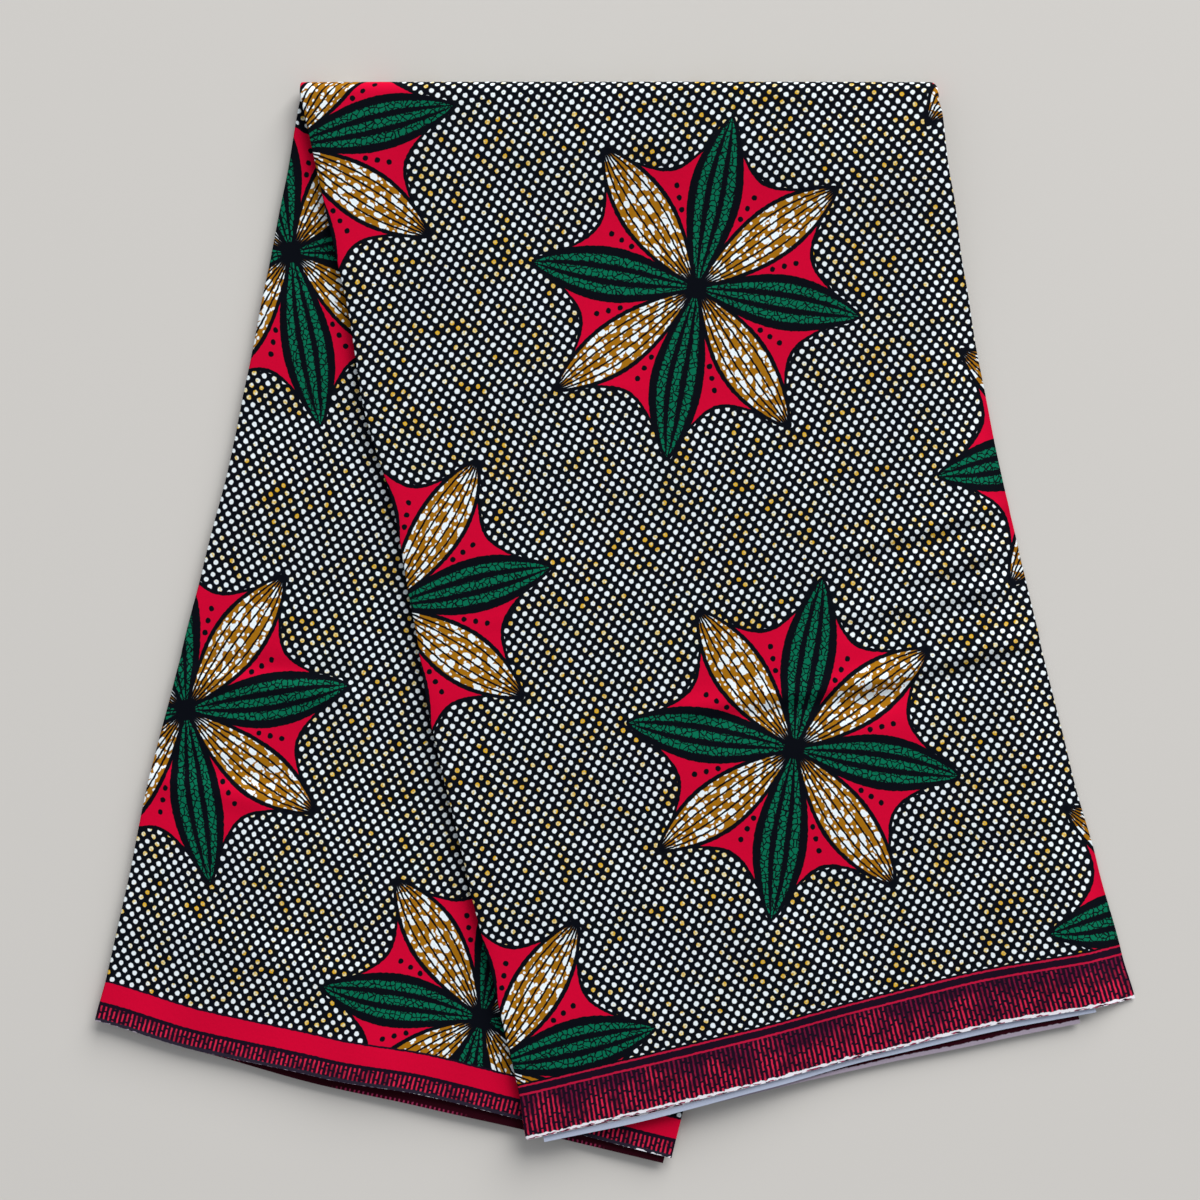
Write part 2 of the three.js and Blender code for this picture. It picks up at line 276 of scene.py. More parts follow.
def stops(*runs):  # runs of (from, to, step), each at its own spacing
    values = []
    for low, high, step in runs:
        count = max(1, round((high - low) / step))
        values += list(np.linspace(low, high, count, endpoint=False))
    return values + [runs[-1][1]]


# The side of a visible ply turns under into the next ply of the zigzag
def turnedUnder(across, radius):
    past = np.maximum(-across, 0)
    angle = np.minimum(past / radius, math.pi)
    under = np.maximum(past - math.pi * radius, 0)
    kept = np.maximum(across, 0)
    return kept - radius * np.sin(angle) + under, radius * (1 - np.cos(angle))


def ripple(x, y, size):  # slow unevenness of hand-folded cotton
    waves = [(61, 0.4, 0.0), (43, 2.1, 1.0), (88, 1.2, 2.0), (35, 5.2, 4.0), (120, 3.6, 0.7)]
    total = 0
    for length, heading, phase in waves:
        along = x * math.cos(heading) + y * math.sin(heading)
        total = total + np.sin(along * 2 * math.pi / length + phase) * length / 120
    return total * size


# The print: its colours, its shader sums, then each part of it with its own sizes. Sizes are in
# millimetres on the flat cloth, and the scale of a noise is in cells to the millimetre.
def paint(red, green, blue):  # an sRGB colour as the linear one that a shader takes
    values = [channel / 255 for channel in (red, green, blue)]
    return tuple(v / 12.92 if v <= 0.04045 else ((v + 0.055) / 1.055) ** 2.4 for v in values) + (1,)


inks = {
    "ground": paint(6, 9, 17),
    "crimson": paint(204, 2, 48),
    "green": paint(4, 106, 76),
    "ochre": paint(160, 106, 14),
    "white": paint(234, 243, 246),
    "paleYellow": paint(236, 220, 158),
    "yellow": paint(222, 174, 42),
    "dash": paint(212, 36, 72),
    "borderLine": paint(186, 20, 58),
    "fleck": paint(150, 44, 80),
    "dashDull": paint(112, 16, 52),
    "dashDark": paint(26, 10, 28),
    "selvedge": paint(230, 228, 234),
    # selvedge white greyed and blued: painted shade on the second front ply's strip under the top ply
    "shadedSelvedge": paint(178, 186, 206),
    "slate": paint(40, 34, 48),
    "maroon": paint(44, 4, 16),
    "mauve": paint(158, 146, 160),
    "mark": paint(128, 136, 148),
}


class Shade:  # a socket that takes part in sums
    def __init__(self, tree, socket=None):
        self.tree = tree
        self.socket = socket

    def node(self, kind, settings=None, inputs=None, output=0):
        made = self.tree.nodes.new(kind)
        for key, value in (settings or {}).items():
            setattr(made, key, value)
        for key, value in (inputs or {}).items():
            if isinstance(value, Shade):
                self.tree.links.new(value.socket, made.inputs[key])
            else:
                made.inputs[key].default_value = value
        return Shade(self.tree, made.outputs[output])

    def math(self, operation, *values):
        return self.node("ShaderNodeMath", {"operation": operation}, dict(enumerate(values)))

    def vector(self, operation, inputs):
        return self.node("ShaderNodeVectorMath", {"operation": operation}, inputs)

    def __add__(self, other):
        return self.math("ADD", self, other)

    def __sub__(self, other):
        return self.math("SUBTRACT", self, other)

    def __mul__(self, other):
        return self.math("MULTIPLY", self, other)

    def __truediv__(self, other):
        return self.math("DIVIDE", self, other)

    def __rsub__(self, other):
        return self.math("SUBTRACT", other, self)

    def __rtruediv__(self, other):
        return self.math("DIVIDE", other, self)

    __radd__ = __add__
    __rmul__ = __mul__

    def abs(self):
        return self.math("ABSOLUTE", self)

    def root(self):
        return self.math("SQRT", self)

    def sine(self):
        return self.math("SINE", self)

    def cosine(self):
        return self.math("COSINE", self)

    def power(self, exponent):
        return self.math("POWER", self, exponent)

    def floor(self):
        return self.math("FLOOR", self)

    def fraction(self):
        return self.math("FRACT", self)

    def fromCentre(self):  # the place in its repeat, from -0.5 to 0.5
        return self.fraction() - 0.5

    def least(self, other):
        return self.math("MINIMUM", self, other)

    def most(self, other):
        return self.math("MAXIMUM", self, other)

    def ramp(self, low, high):  # 0 below low, 1 above high, smooth between
        settings = {"interpolation_type": "SMOOTHSTEP"}
        return self.node("ShaderNodeMapRange", settings, {"Value": self, "From Min": low, "From Max": high})

    def below(self, edge, soft=0.12):  # 1 where the value is under the edge
        return 1 - self.ramp(edge - soft, edge + soft)

    def above(self, edge, soft=0.12):
        return self.ramp(edge - soft, edge + soft)

    def noise(self, scale, detail=2.0, roughness=0.5, output=0):
        inputs = {"Vector": self, "Scale": scale, "Detail": detail, "Roughness": roughness}
        return self.node("ShaderNodeTexNoise", {"noise_dimensions": "2D"}, inputs, output)

    def cells(self, scale, feature="F1"):
        settings = {"voronoi_dimensions": "2D", "feature": feature}
        return self.node("ShaderNodeTexVoronoi", settings, {"Vector": self, "Scale": scale}, "Distance")

    def chance(self):  # a random share for each number
        return self.node("ShaderNodeTexWhiteNoise", {"noise_dimensions": "1D"}, {"W": self})

    def shifted(self, colourNoise, size):  # a place moved about by a coloured noise
        centred = self.vector("SUBTRACT", {0: colourNoise, 1: (0.5, 0.5, 0.5)})
        moved = self.vector("SCALE", {0: centred, "Scale": size})
        return self.vector("ADD", {0: self, 1: moved})

    def beside(self, other):  # a place from its two distances
        return self.node("ShaderNodeCombineXYZ", None, {0: self, 1: other})

    def parts(self):
        first = self.node("ShaderNodeSeparateXYZ", None, {0: self})
        return first, Shade(self.tree, first.socket.node.outputs[1])

    def over(self, base, colour):  # lay a colour on another where this mask is 1
        return self.node("ShaderNodeMix", {"data_type": "RGBA"}, {0: self, 6: base, 7: colour}, 2)


dotPrint = {
    "columnPitch": 6.15, "rowPitch": 7.1, "radius": 1.32, "softness": 0.26,
    "edgeNoise": 0.46, "sizeSpread": 0.2,
    "columnSeed": 1.37, "rowSeed": 7.71,
    "clusterScale": 0.03, "clusterWeight": 0.9, "ownWeight": 0.8,
    "patchScale": 0.42, "patchWeight": 0.85,
    "paleYellow": (0.5, 0.74), "yellow": (0.66, 0.9),
    "markRadius": 0.4, "markSoftness": 0.2, "markStrength": 0.6,
}


def dotGround(flat, across, along, fine):
    sizes = dotPrint

    def lattice(shift):  # distance to the nearest dot of one row set, and that dot's own number
        column, row = across / sizes["columnPitch"] + shift, along / sizes["rowPitch"] + shift
        x = column.fromCentre() * sizes["columnPitch"]
        y = row.fromCentre() * sizes["rowPitch"]
        number = column.floor() * sizes["columnSeed"] + row.floor() * sizes["rowSeed"] + shift
        return (x * x + y * y).root(), number

    (firstDistance, firstNumber), (nextDistance, nextNumber) = lattice(0.0), lattice(0.5)
    nearer = firstDistance.math("LESS_THAN", firstDistance, nextDistance)
    chance = (nextNumber + (firstNumber - nextNumber) * nearer).chance()
    fromDot = firstDistance.least(nextDistance)
    edge = fromDot + (fine - 0.5) * sizes["edgeNoise"] + (chance - 0.5) * sizes["sizeSpread"]
    mask = edge.below(sizes["radius"], sizes["softness"])
    clusters = (flat.noise(sizes["clusterScale"], 3, 0.6) - 0.5) * sizes["clusterWeight"]
    patches = (flat.noise(sizes["patchScale"], 2) - 0.5) * sizes["patchWeight"]
    yellowness = clusters + chance * sizes["ownWeight"] + patches
    colour = yellowness.ramp(*sizes["paleYellow"]).over(inks["white"], inks["paleYellow"])
    colour = yellowness.ramp(*sizes["yellow"]).over(colour, inks["yellow"])
    mark = fromDot.below(sizes["markRadius"], sizes["markSoftness"]) * chance * sizes["markStrength"]
    return mask.over(inks["ground"], mark.over(colour, inks["mark"]))


petalPrint = {
    "crackleScale": 0.32, "crackleHalf": 0.11, "crackleWander": 1.9,
    "greenBands": 1.75, "bandEdge": 0.56, "bandNoise": 0.5, "greenMargin": 0.8,
    "blobStretch": (0.8, 0.95), "petalSeed": 23, "columnSeed": 61,
    "blobNoiseScale": 0.1, "blobWander": 2.6,
    "bigBlobScale": 0.15, "bigBlobEdge": 0.28, "smallBlobScale": 0.3, "smallBlobEdge": 0.22,
    "ribs": 3.2, "ribHalf": 0.56,
}


def greenPetal(flat, warp, spread, fine):  # crackled green between dark bands
    sizes = petalPrint
    crackle = flat.shifted(warp, sizes["crackleWander"]).cells(sizes["crackleScale"], "DISTANCE_TO_EDGE")
    crackleLine = crackle.below(sizes["crackleHalf"], 0.05)
    bandPlace = (spread * sizes["greenBands"] + 0.5).fromCentre().abs() * 2
    darkBand = (bandPlace + (fine - 0.5) * sizes["bandNoise"]).above(sizes["bandEdge"], 0.05)
    darkBand = darkBand.most(spread.abs().above(sizes["greenMargin"], 0.03))
    return crackleLine.most(darkBand).over(inks["green"], inks["ground"])


def ochrePetal(reach, sideways, petalHalf, spread, petalNumber, columnNumber):  # blobs under ribs
    sizes = petalPrint
    stretch = sizes["blobStretch"]
    own = reach * stretch[0] + petalNumber * sizes["petalSeed"] + columnNumber * sizes["columnSeed"]
    place = own.beside(sideways * stretch[1])
    soft = place.shifted(place.noise(sizes["blobNoiseScale"], output="Color"), sizes["blobWander"])
    bigBlobs = soft.cells(sizes["bigBlobScale"]).below(sizes["bigBlobEdge"], 0.02)
    smallBlobs = soft.cells(sizes["smallBlobScale"]).below(sizes["smallBlobEdge"], 0.03)
    spotted = bigBlobs.most(smallBlobs).over(inks["ochre"], inks["white"])
    fromRib = (spread * sizes["ribs"] + 0.5).fromCentre().abs() / sizes["ribs"] * petalHalf
    return fromRib.below(sizes["ribHalf"]).over(spotted, inks["ground"])


flowerPrint = {
    "pitch": 214, "rise": 268, "shift": 0.33,
    "radius": 98, "petals": 8, "petalHalf": 14.5, "petalBelly": 1.15, "petalFullness": 0.85,
    "outline": 1.1, "eye": 6.0, "webMiddle": 69, "webRise": 25,
    "pearlPitch": 7, "pearlRadius": 1.6, "pearlStart": 42, "pearlEnd": 63,
}


# Star flowers in columns set half a rise apart: petals, a web between them, a row of pearls in it
def starFlowers(ground, flat, warp, across, along, fine):
    sizes = flowerPrint
    column = across / sizes["pitch"]
    columnNumber = column.floor()
    odd = (columnNumber * 0.5).fraction() * 2
    x = column.fromCentre() * sizes["pitch"]
    y = (along / sizes["rise"] + odd * 0.5 + sizes["shift"]).fromCentre() * sizes["rise"]
    radius = (x * x + y * y).root()
    sector = 2 * math.pi / sizes["petals"]
    heading = x.math("ARCTAN2", y, x) + odd * (sector * 0.5) + 2 * math.pi
    petalNumber = (heading / sector + 0.5).floor()
    aside = heading - petalNumber * sector
    reach, sideways = radius * aside.cosine(), radius * aside.sine()
    share = (reach / sizes["radius"]).most(0.0).least(1.0)
    swell = (share.power(sizes["petalBelly"]) * math.pi).sine().most(0.0001)
    petalHalf = swell.power(sizes["petalFullness"]) * sizes["petalHalf"] + 0.01
    sectorEdge = reach * math.tan(sector / 2) - sideways.abs()
    petalInside = (petalHalf - sideways.abs()).least(sectorEdge)
    petalLine = petalInside.abs().below(sizes["outline"]) * reach.below(sizes["radius"])

    towardsPetal = 1 - aside.abs() / (sector / 2)
    webInside = towardsPetal * towardsPetal * sizes["webRise"] + sizes["webMiddle"] - radius
    webMask = webInside.above(0.0)
    webLine = webInside.abs().below(sizes["outline"])
    webAside = heading - ((heading / sector).floor() + 0.5) * sector
    pearlAcross = radius * webAside.sine()
    pearlAlong = (radius / sizes["pearlPitch"]).fromCentre() * sizes["pearlPitch"]
    pearls = (pearlAcross * pearlAcross + pearlAlong * pearlAlong).root().below(sizes["pearlRadius"])
    pearls = pearls * radius.above(sizes["pearlStart"], 0.5) * radius.below(sizes["pearlEnd"], 0.5)

    spread = sideways / petalHalf
    green = greenPetal(flat, warp, spread, fine)
    ochre = ochrePetal(reach, sideways, petalHalf, spread, petalNumber, columnNumber)
    petalFill = ((petalNumber * 0.5).fraction() * 2).over(green, ochre)
    colour = webMask.over(ground, inks["crimson"])
    colour = webLine.most(pearls * webMask).over(colour, inks["ground"])
    colour = petalInside.above(0.0).over(colour, petalFill)
    return petalLine.most(radius.below(sizes["eye"], 0.4)).over(colour, inks["ground"])


dashPrint = {
    "pitch": 2.75, "length": 5.6, "half": 0.5, "gapHalf": 0.55, "brightWithin": 25.4,
    "longScale": 0.16, "longFrom": 0.56,  # where dashes run on into each other
    "wearScale": 0.1, "wear": (0.46, 0.7), "wearStrength": 0.6,
    "fadeScale": 0.07, "fadeNoise": 1.6, "fade": (0.3, 0.95),
}


def dashedBand(flat, across, along, fromEdge):  # brighter near the selvedge
    sizes = dashPrint
    column = across / sizes["pitch"]
    number = column.floor()
    stroke = (column.fromCentre().abs() * sizes["pitch"]).below(sizes["half"], 0.24)
    link = along / sizes["length"] + (number * 0.5).fraction() + number.chance() * 0.5
    broken = (link.fromCentre().abs() * sizes["length"]).above(sizes["gapHalf"], 0.2)
    broken = broken.most(flat.noise(sizes["longScale"], 1).above(sizes["longFrom"], 0.03))
    worn = flat.noise(sizes["wearScale"], 3).ramp(*sizes["wear"])
    dashes = stroke * broken * (1 - worn * sizes["wearStrength"])
    fadeNoise = (flat.noise(sizes["fadeScale"], 2) - 0.5) * sizes["fadeNoise"]
    fade = (fromEdge / sizes["brightWithin"] + fadeNoise).ramp(*sizes["fade"])
    return stroke, dashes.over(inks["dashDark"], fade.over(inks["dash"], inks["dashDull"]))


def striped(fill, fromEdge, stripes):
    for start, soft, ink in stripes:
        fill = fromEdge.above(start, soft).over(fill, inks[ink])
    return fill


frontBorder = {
    "width": 32.5,
    "stripes": (
        (25.4, 0.1, "borderLine"),
        (26.5, 0.12, "dashDark"),
        (30.3, 0.12, "borderLine"),
        (31.3, 0.12, "ground"),
    ),
    "rawEdge": 1.8, "rawNoise": 2.4,
    "fleckStretch": 0.4, "fleckScale": 0.5, "fleckFrom": 0.47,
    "fleckWidth": 0.75, "fleckEdgeScale": 0.12, "fleckEdgeNoise": 2.2,
}


# Dashes and two thin lines, then the raw white edge, flecked with dye along the outside
def printFrontBorder(colour, dashColour, flat, across, along, speckle):
    sizes = frontBorder
    fill = striped(dashColour, along, sizes["stripes"])
    flecks = (across * sizes["fleckStretch"]).beside(along).noise(sizes["fleckScale"], 3)
    flecks = flecks.above(sizes["fleckFrom"], 0.05) * along.above(0.0)
    fleckEdge = along + (flat.noise(sizes["fleckEdgeScale"], 2) - 0.5) * sizes["fleckEdgeNoise"]
    flecks = flecks * fleckEdge.below(sizes["fleckWidth"], 0.15)
    fleckInk = speckle.above(0.5).over(inks["dashDark"], inks["fleck"])
    # past the selvedge the white is greyed: painted shade for the second front ply's strip, which lies in
    # the top ply's shade
    bareAndShaded = along.above(-0.2).over(inks["shadedSelvedge"], inks["selvedge"])
    rawEdge = sizes["rawEdge"] + (speckle - 0.5) * sizes["rawNoise"]
    fill = (rawEdge - along).above(0.0, 0.2).over(fill, flecks.over(bareAndShaded, fleckInk))
    return along.below(sizes["width"]).over(colour, fill)


backBorder = {
    "width": 23.7, "slate": 2.0,
    "stripes": (
        (9.2, 0.1, "dashDark"),
        (11.3, 0.1, "crimson"),
        (22.5, 0.12, "dashDark"),
    ),
    "wornFrom": 152, "wornSoftness": 5, "wornWidth": 0.55, "widerAtRight": 0.35,
}


# Dashes and a crimson band, the edge worn white at the strip's two sides only
def printBackBorder(colour, dashColour, across, fromBack, speckle):
    sizes = backBorder
    fill = fromBack.above(sizes["slate"], 0.3).over(inks["slate"], dashColour)
    fill = striped(fill, fromBack, sizes["stripes"])
    fromMiddle = across - backLeaf["lengthStart"] - cut["stripWidth"] / 2
    worn = speckle.ramp(0.4, 0.6) * fromMiddle.abs().above(sizes["wornFrom"], sizes["wornSoftness"])
    worn = worn * (fromMiddle.above(0.0) * sizes["widerAtRight"] + sizes["wornWidth"])
    wornInk = fromMiddle.above(0.0).over(inks["mauve"], inks["selvedge"])
    fill = (worn - fromBack).above(0.0, 0.1).over(fill, wornInk)
    return fromBack.below(sizes["width"]).over(colour, fill)


# Painted shade: the hem plies deep under the top ply are printed dark maroon with a dull mauve edge, in
# place of the shade they lie in.
paintedHemShade = {
    "outside": 60,  # how far outside the printed width the hem plies' painted shade is set
    "startsAt": -8, "mauveEdge": 2.2, "edgeNoise": 1.2, "dashEdge": 1.7,
}


# Painted shade on the hem plies deep under the top ply: dark maroon, with a dull mauve edge at the front
# hem and dashes printed through at the back one
def paintHemShade(colour, stroke, fromFront, fromBack, fromEdge, broad, speckle):
    sizes = paintedHemShade
    fromTurned = fromFront + sizes["outside"] + (speckle - 0.5) * sizes["edgeNoise"]
    fill = fromTurned.below(sizes["mauveEdge"], 0.3).over(inks["maroon"], inks["mauve"])
    printedThrough = (fromBack + sizes["outside"]).below(sizes["dashEdge"], 0.3) * broad.above(0.48, 0.06)
    fill = (stroke * printedThrough * fromBack.below(0.0)).over(fill, inks["fleck"])
    return fromEdge.below(sizes["startsAt"], 0.5).over(colour, fill)


cotton = {
    "threadPitch": 0.42, "weaveHeight": 0.06, "slubScale": 0.3, "slubHeight": 0.4,
    "bumpStrength": 0.5, "bumpDistance": 0.0004, "unevenInk": 0.16,
    "roughness": 0.78, "roughnessSpread": 0.14, "specular": 0.05,
    "warpScale": 0.38, "warpSize": 0.8, "fineScale": 0.9, "broadScale": 0.02, "speckleScale": 0.32,
}


def cottonSurface(colour, flat, fine, broad):  # a fine plain weave, a little uneven ink
    sizes = cotton
    uneven = (fine - 0.5) * sizes["unevenInk"] + (broad - 0.5) * sizes["unevenInk"]
    shaded = flat.node("ShaderNodeHueSaturation", None, {"Value": uneven + 1.0, "Color": colour})
    threadTurn = 2 * math.pi / sizes["threadPitch"]
    weftPlace, warpPlace = flat.parts()
    weave = (weftPlace * threadTurn).sine() * (warpPlace * threadTurn).sine() * 0.5 + 0.5
    relief = weave * sizes["weaveHeight"] + flat.noise(sizes["slubScale"], 2) * sizes["slubHeight"]
    bump = flat.node("ShaderNodeBump", None, {
        "Strength": sizes["bumpStrength"], "Distance": sizes["bumpDistance"], "Height": relief,
    })
    return flat.node("ShaderNodeBsdfPrincipled", None, {
        "Base Color": shaded, "Roughness": sizes["roughness"] + fine * sizes["roughnessSpread"],
        "Normal": bump, "Specular IOR Level": sizes["specular"],
    })


def buildPrint():
    material = bpy.data.materials.new("waxPrintCotton")
    material.use_nodes = True
    tree = material.node_tree
    tree.nodes.clear()
    start = Shade(tree)
    uv = start.node("ShaderNodeUVMap", {"uv_map": "cloth"})
    flat = start.vector("SCALE", {0: uv, "Scale": 1000})
    warp = flat.noise(cotton["warpScale"], output="Color")
    across, along = flat.shifted(warp, cotton["warpSize"]).parts()
    fine = flat.noise(cotton["fineScale"], 3)
    broad = flat.noise(cotton["broadScale"], 1)
    speckle = flat.noise(cotton["speckleScale"], 3)
    fromBack = cut["clothWidth"] - along
    fromEdge = along.least(fromBack)

    colour = dotGround(flat, across, along, fine)
    colour = starFlowers(colour, flat, warp, across, along, fine)
    stroke, dashColour = dashedBand(flat, across, along, fromEdge)
    colour = printFrontBorder(colour, dashColour, flat, across, along, speckle)
    colour = printBackBorder(colour, dashColour, across, fromBack, speckle)
    # painted shade on the hem plies that lie deep under the top ply
    colour = paintHemShade(colour, stroke, along, fromBack, fromEdge, broad, speckle)
    surface = cottonSurface(colour, flat, fine, broad)
    output = tree.nodes.new("ShaderNodeOutputMaterial")
    tree.links.new(surface.socket, output.inputs["Surface"])
    return material


frontLeaf = {
    "turnRadius": 0.85, "lengthStart": 121, "cell": 3.0, "ripple": 0.12,
    "edgeDrop": 0.6, "edgeDropReach": 2.5,
}
backLeaf = {"turnRadius": 0.85, "lengthStart": 311, "cell": 3.4, "ripple": 0.1, "rippleShift": 300}

clearScene()
printMaterial = buildPrint()
print("print material done")


def pathAt(leg, distance):  # a mean distance from the fold, as a place on the path
    return 1 - distance / cut["leafRun"] if leg == "front" else 2 + distance / cut["leafRun"]


def leafColumns(cell):  # the part turned under, the turn, and the leaf, finer towards its sides
    return stops(
        (-cut["turnedUnder"], -2.7, 3.5), (-2.7, 0, 0.45),
        (0, 8, 2), (8, 349, cell), (349, cut["stripWidth"], 0.75),
    )


def frontLeafPoint(across, path):
    kept, sunk = turnedUnder(across, frontLeaf["turnRadius"])
    x, y, z, fromFront, _ = foldedPoint(kept, path, sunk, looseTop=True)
    onLeaf = smooth(1 - path, 0.0, 0.06)
    z = z + ripple(x, y, frontLeaf["ripple"]) * onLeaf
    z = z - frontLeaf["edgeDrop"] * np.exp(-np.maximum(across, 0) / frontLeaf["edgeDropReach"]) * onLeaf
    return x, y, z, across + frontLeaf["lengthStart"], fromFront


def backLeafPoint(across, path):
    kept, sunk = turnedUnder(across, backLeaf["turnRadius"])
    depth = cut["leafThickness"] - sunk
    x, y, z, _, fromBack = foldedPoint(kept, path, depth, looseTop=True)
    onLeaf = smooth(path - 2, 0.0, 0.06)
    z = z + ripple(x, y + backLeaf["rippleShift"], backLeaf["ripple"]) * onLeaf * (sunk < 0.2)
    return x, y, z, across + backLeaf["lengthStart"], cut["clothWidth"] - fromBack


frontCloth = clothSheet(
    "frontLeafCloth",
    leafColumns(frontLeaf["cell"]),
    stops((0, 0.96, 0.0054), (0.96, 1, 0.005), (1, 2, 0.08), (2, pathAt("back", cut["tuck"]), 0.02)),
    frontLeafPoint,
)
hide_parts("front_leaf")

backCloth = clothSheet(
    "backLeafCloth",
    leafColumns(backLeaf["cell"]),
    stops((pathAt("front", cut["tuck"]), 1, 0.02), (1, 2, 0.1), (2, 2.04, 0.005), (2.04, 3, 0.006)),
    backLeafPoint,
)
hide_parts("back_leaf")


# Plies that show below a hem: where they lie in the leaf, how far they stop short of the strip's two
# sides, how far they reach in from the hem, and how the print is set on them
# The second front ply's shift puts the painted shade past its selvedge onto its visible strip.
secondFrontPly = {
    "leg": "front", "hem": "second", "depth": 1.75, "left": 9, "right": 24, "reach": 90,
    "lengthStart": 310, "shift": 3.6,
}
# The third front ply and the second back ply take the painted shade print, set outside the printed width.
thirdFrontPly = {
    "leg": "front", "hem": "third", "depth": 3.2, "left": 11, "right": 34, "reach": 90,
    "lengthStart": 500, "shift": paintedHemShade["outside"],
}
secondBackPly = {
    "leg": "back", "hem": "backSecond", "depth": 5.3, "left": 2, "right": 4, "reach": 88,
    "lengthStart": 820, "shift": paintedHemShade["outside"],
}


def hemPly(name, ply, node):
    front = ply["leg"] == "front"

    def place(across, inward):
        path = inward if front else 3 - inward
        hem = {ply["leg"] + "Hem": ply["hem"]}
        x, y, z, fromFront, fromBack = foldedPoint(across, path, ply["depth"], **hem)
        widthwise = fromFront - ply["shift"] if front else cut["clothWidth"] - fromBack + ply["shift"]
        return x, y, z + ripple(x, y, 0.05), across + ply["lengthStart"], widthwise

    acrossStops = stops((ply["left"], cut["stripWidth"] - ply["right"], 4))
    inwardStops = stops((0, ply["reach"] / cut["hemRun"], 0.006))
    piece = clothSheet(name, acrossStops, inwardStops, place)
    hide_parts(node)
    return piece, (cut["stripWidth"] - ply["left"] - ply["right"], ply["reach"])


hemPlies = [
    hemPly("frontHemPly2", secondFrontPly, "front_hem_ply_2"),
    hemPly("frontHemPly3", thirdFrontPly, "front_hem_ply_3"),
    hemPly("backHemPly2", secondBackPly, "back_hem_ply_2"),
]

# The plies in between: one zigzag sheet, its turns a little uneven at both sides. Depths are measured
# from the strip's outer face. Away from the strip's sides and the fold the outer plies lie deeper, by
# buried, and those beside a hem ply end short of that hem, by loose.
stack = {
    "passes": 10, "columns": 15, "loose": 102, "frontLooseTo": 4.4, "backLooseFrom": 4.0,
    "depths": (2.15, 5.05), "openDepths": (0.1, 6.9), "openOver": 26,
    "buried": 2.0, "buriedFromSide": (6, 30), "buriedFromFold": (20, 60),
    "sideInsets": (0.3, 2.6), "hemInsets": (2.5, 8.0), "bulge": 0.35,
}


def stackPly():
    random = np.random.default_rng(7)
    passes = stack["passes"]
    sideInset = random.uniform(*stack["sideInsets"], (passes + 1, 2))
    hemInset = random.uniform(*stack["hemInsets"], (passes, 2))
    columns = []  # level in the stack, side of the strip, number of the pass
    for number in range(passes):
        rightwards = number % 2 == 0
        fromSide, toSide = (0.04, 0.96) if rightwards else (0.96, 0.04)
        columns += [(number, side, number) for side in np.linspace(fromSide, toSide, stack["columns"])]
        if number < passes - 1:
            turn = (0.0, 0.25, 0.5, 0.75, 1.0)
            columns += [(number + step, 1.0 if rightwards else 0.0, number) for step in turn]
    levels, sides, places = (np.array(values) for values in zip(*columns))

    def place(column, path):
        column = column.astype(int)
        level, side, number = levels[column], sides[column], places[column]
        share = level / (passes - 1)
        front, back = path < 1, path > 2
        at = np.where(front, path, 3 - path)
        fromFold = (1 - at) * cut["leafRun"]
        clear = smooth(fromFold, cut["tuck"], cut["tuck"] + stack["openOver"])
        inside = np.minimum(side, 1 - side) * cut["stripWidth"]
        inFromSide = smooth(inside, *stack["buriedFromSide"])
        buriedBy = stack["buried"] * inFromSide * smooth(fromFold, *stack["buriedFromFold"])
        (topDepth, bottomDepth), (openTop, openBottom) = stack["depths"], stack["openDepths"]
        top = np.where(back, lerp(topDepth, openTop, clear), topDepth + buriedBy)
        bottom = np.where(front, lerp(bottomDepth, openBottom, clear), bottomDepth - buriedBy)
        depth = lerp(top, bottom, share)
        inset = sideInset[number]
        bulge = stack["bulge"] * np.sin((level - np.floor(level)) * math.pi)
        squeeze = cut["overhang"] * smooth(fromFold, 0, cut["rollLength"] / 2) * front
        low = inset[:, 0] + 1.0
        high = cut["stripWidth"] - inset[:, 1] - 1.0 - squeeze
        across = lerp(low, high, side) + np.where(side >= 1, bulge, np.where(side <= 0, -bulge, 0))
        ends = hemInset[number]
        looseFront = np.maximum(ends[:, 0], (depth < stack["frontLooseTo"]) * stack["loose"])
        looseBack = np.maximum(ends[:, 1], (depth > stack["backLooseFrom"]) * stack["loose"])
        start = np.where(front, looseFront, looseBack) / cut["hemRun"]
        at = np.where(front | back, np.maximum(at, 0) * (1 - start) + start, at)
        path = np.where(front, at, np.where(back, 3 - at, path))
        x, y, z, fromFront, fromBack = foldedPoint(across, path, depth, buried=True)
        unturned = np.where(number % 2 == 0, across, cut["stripWidth"] - across)
        lengthwise = number * cut["stripWidth"] + unturned
        return x, y, z, lengthwise, np.where(path > 1.5, cut["clothWidth"] - fromBack, fromFront)

    rows = stops(
        (0, 0.16, 0.02), (0.16, 0.85, 0.03), (0.85, 1, 0.015), (1, 2, 0.14),
        (2, 2.15, 0.015), (2.15, 2.84, 0.05), (2.84, 3, 0.02),
    )
    piece = clothSheet("hiddenPlyStack", list(range(len(levels))), rows, place)
    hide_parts("hidden_plies")
    return piece


stackCloth = stackPly()
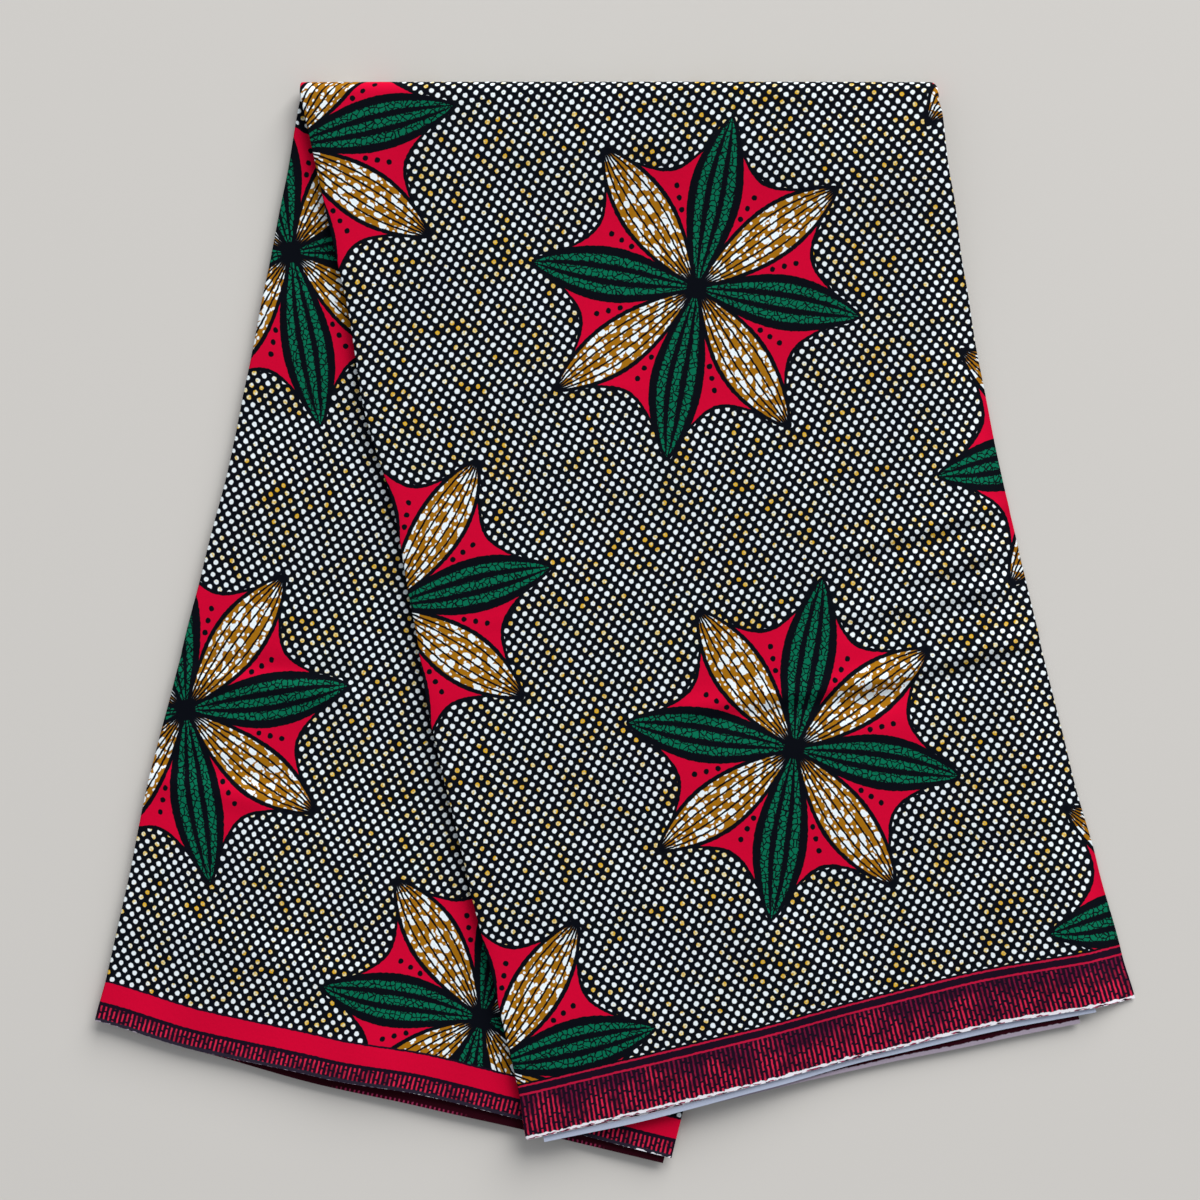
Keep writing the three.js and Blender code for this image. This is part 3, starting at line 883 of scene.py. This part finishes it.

# Each hem ply's cut width and length, turned into metres and not used further
for piece, (width, length) in hemPlies:
    width * mm
    length * mm

# Floor, light and camera, in metres but for the middle of the frame
studio = {
    "floor": paint(206, 202, 196), "floorSize": 6, "floorHeight": -0.0004, "floorRoughness": 0.8,
    "world": (0.9, 0.94, 1.0, 1), "worldStrength": 0.42,
    "keyPlace": (4.9, 10.4, 6.9), "keySize": 10, "keyPower": 2480,
    "cameraHeight": 1.4, "sharpHeight": 0.006, "frameWidth": 0.6864, "frameCentre": (-11.4, -295.7),
    "sensorWidth": 36,
}
bpy.ops.object.select_all(action="DESELECT")
bpy.ops.mesh.primitive_plane_add(size=studio["floorSize"], location=(0, 0, studio["floorHeight"]))
floor = bpy.context.object
floor.name = "floor"
floorMaterial = bpy.data.materials.new("paleFloor")
floorMaterial.use_nodes = True
floorShader = floorMaterial.node_tree.nodes["Principled BSDF"]
floorShader.inputs["Base Color"].default_value = studio["floor"]
floorShader.inputs["Roughness"].default_value = studio["floorRoughness"]
floor.data.materials.append(floorMaterial)

bpy.ops.object.light_add(type="AREA", location=studio["keyPlace"])
key = bpy.context.object
key.data.size = studio["keySize"]
key.data.energy = studio["keyPower"]
key.rotation_euler = (Vector((0, 0, 0)) - Vector(studio["keyPlace"])).to_track_quat("-Z", "Y").to_euler()
world = bpy.data.worlds.new("softRoom")
world.use_nodes = True
world.node_tree.nodes["Background"].inputs["Color"].default_value = studio["world"]
world.node_tree.nodes["Background"].inputs["Strength"].default_value = studio["worldStrength"]
bpy.context.scene.world = world
bpy.context.scene.view_settings.view_transform = "Standard"

centreX = studio["frameCentre"][0] * mm + origin[0]
centreY = studio["frameCentre"][1] * mm + origin[1]
bpy.ops.object.camera_add(location=(centreX, centreY, studio["cameraHeight"]), rotation=(0, 0, 0))
camera = bpy.context.object
camera.data.sensor_width = studio["sensorWidth"]
cameraDistance = studio["cameraHeight"] - studio["sharpHeight"]
camera.data.lens = studio["sensorWidth"] * cameraDistance / studio["frameWidth"]
bpy.context.scene.camera = camera
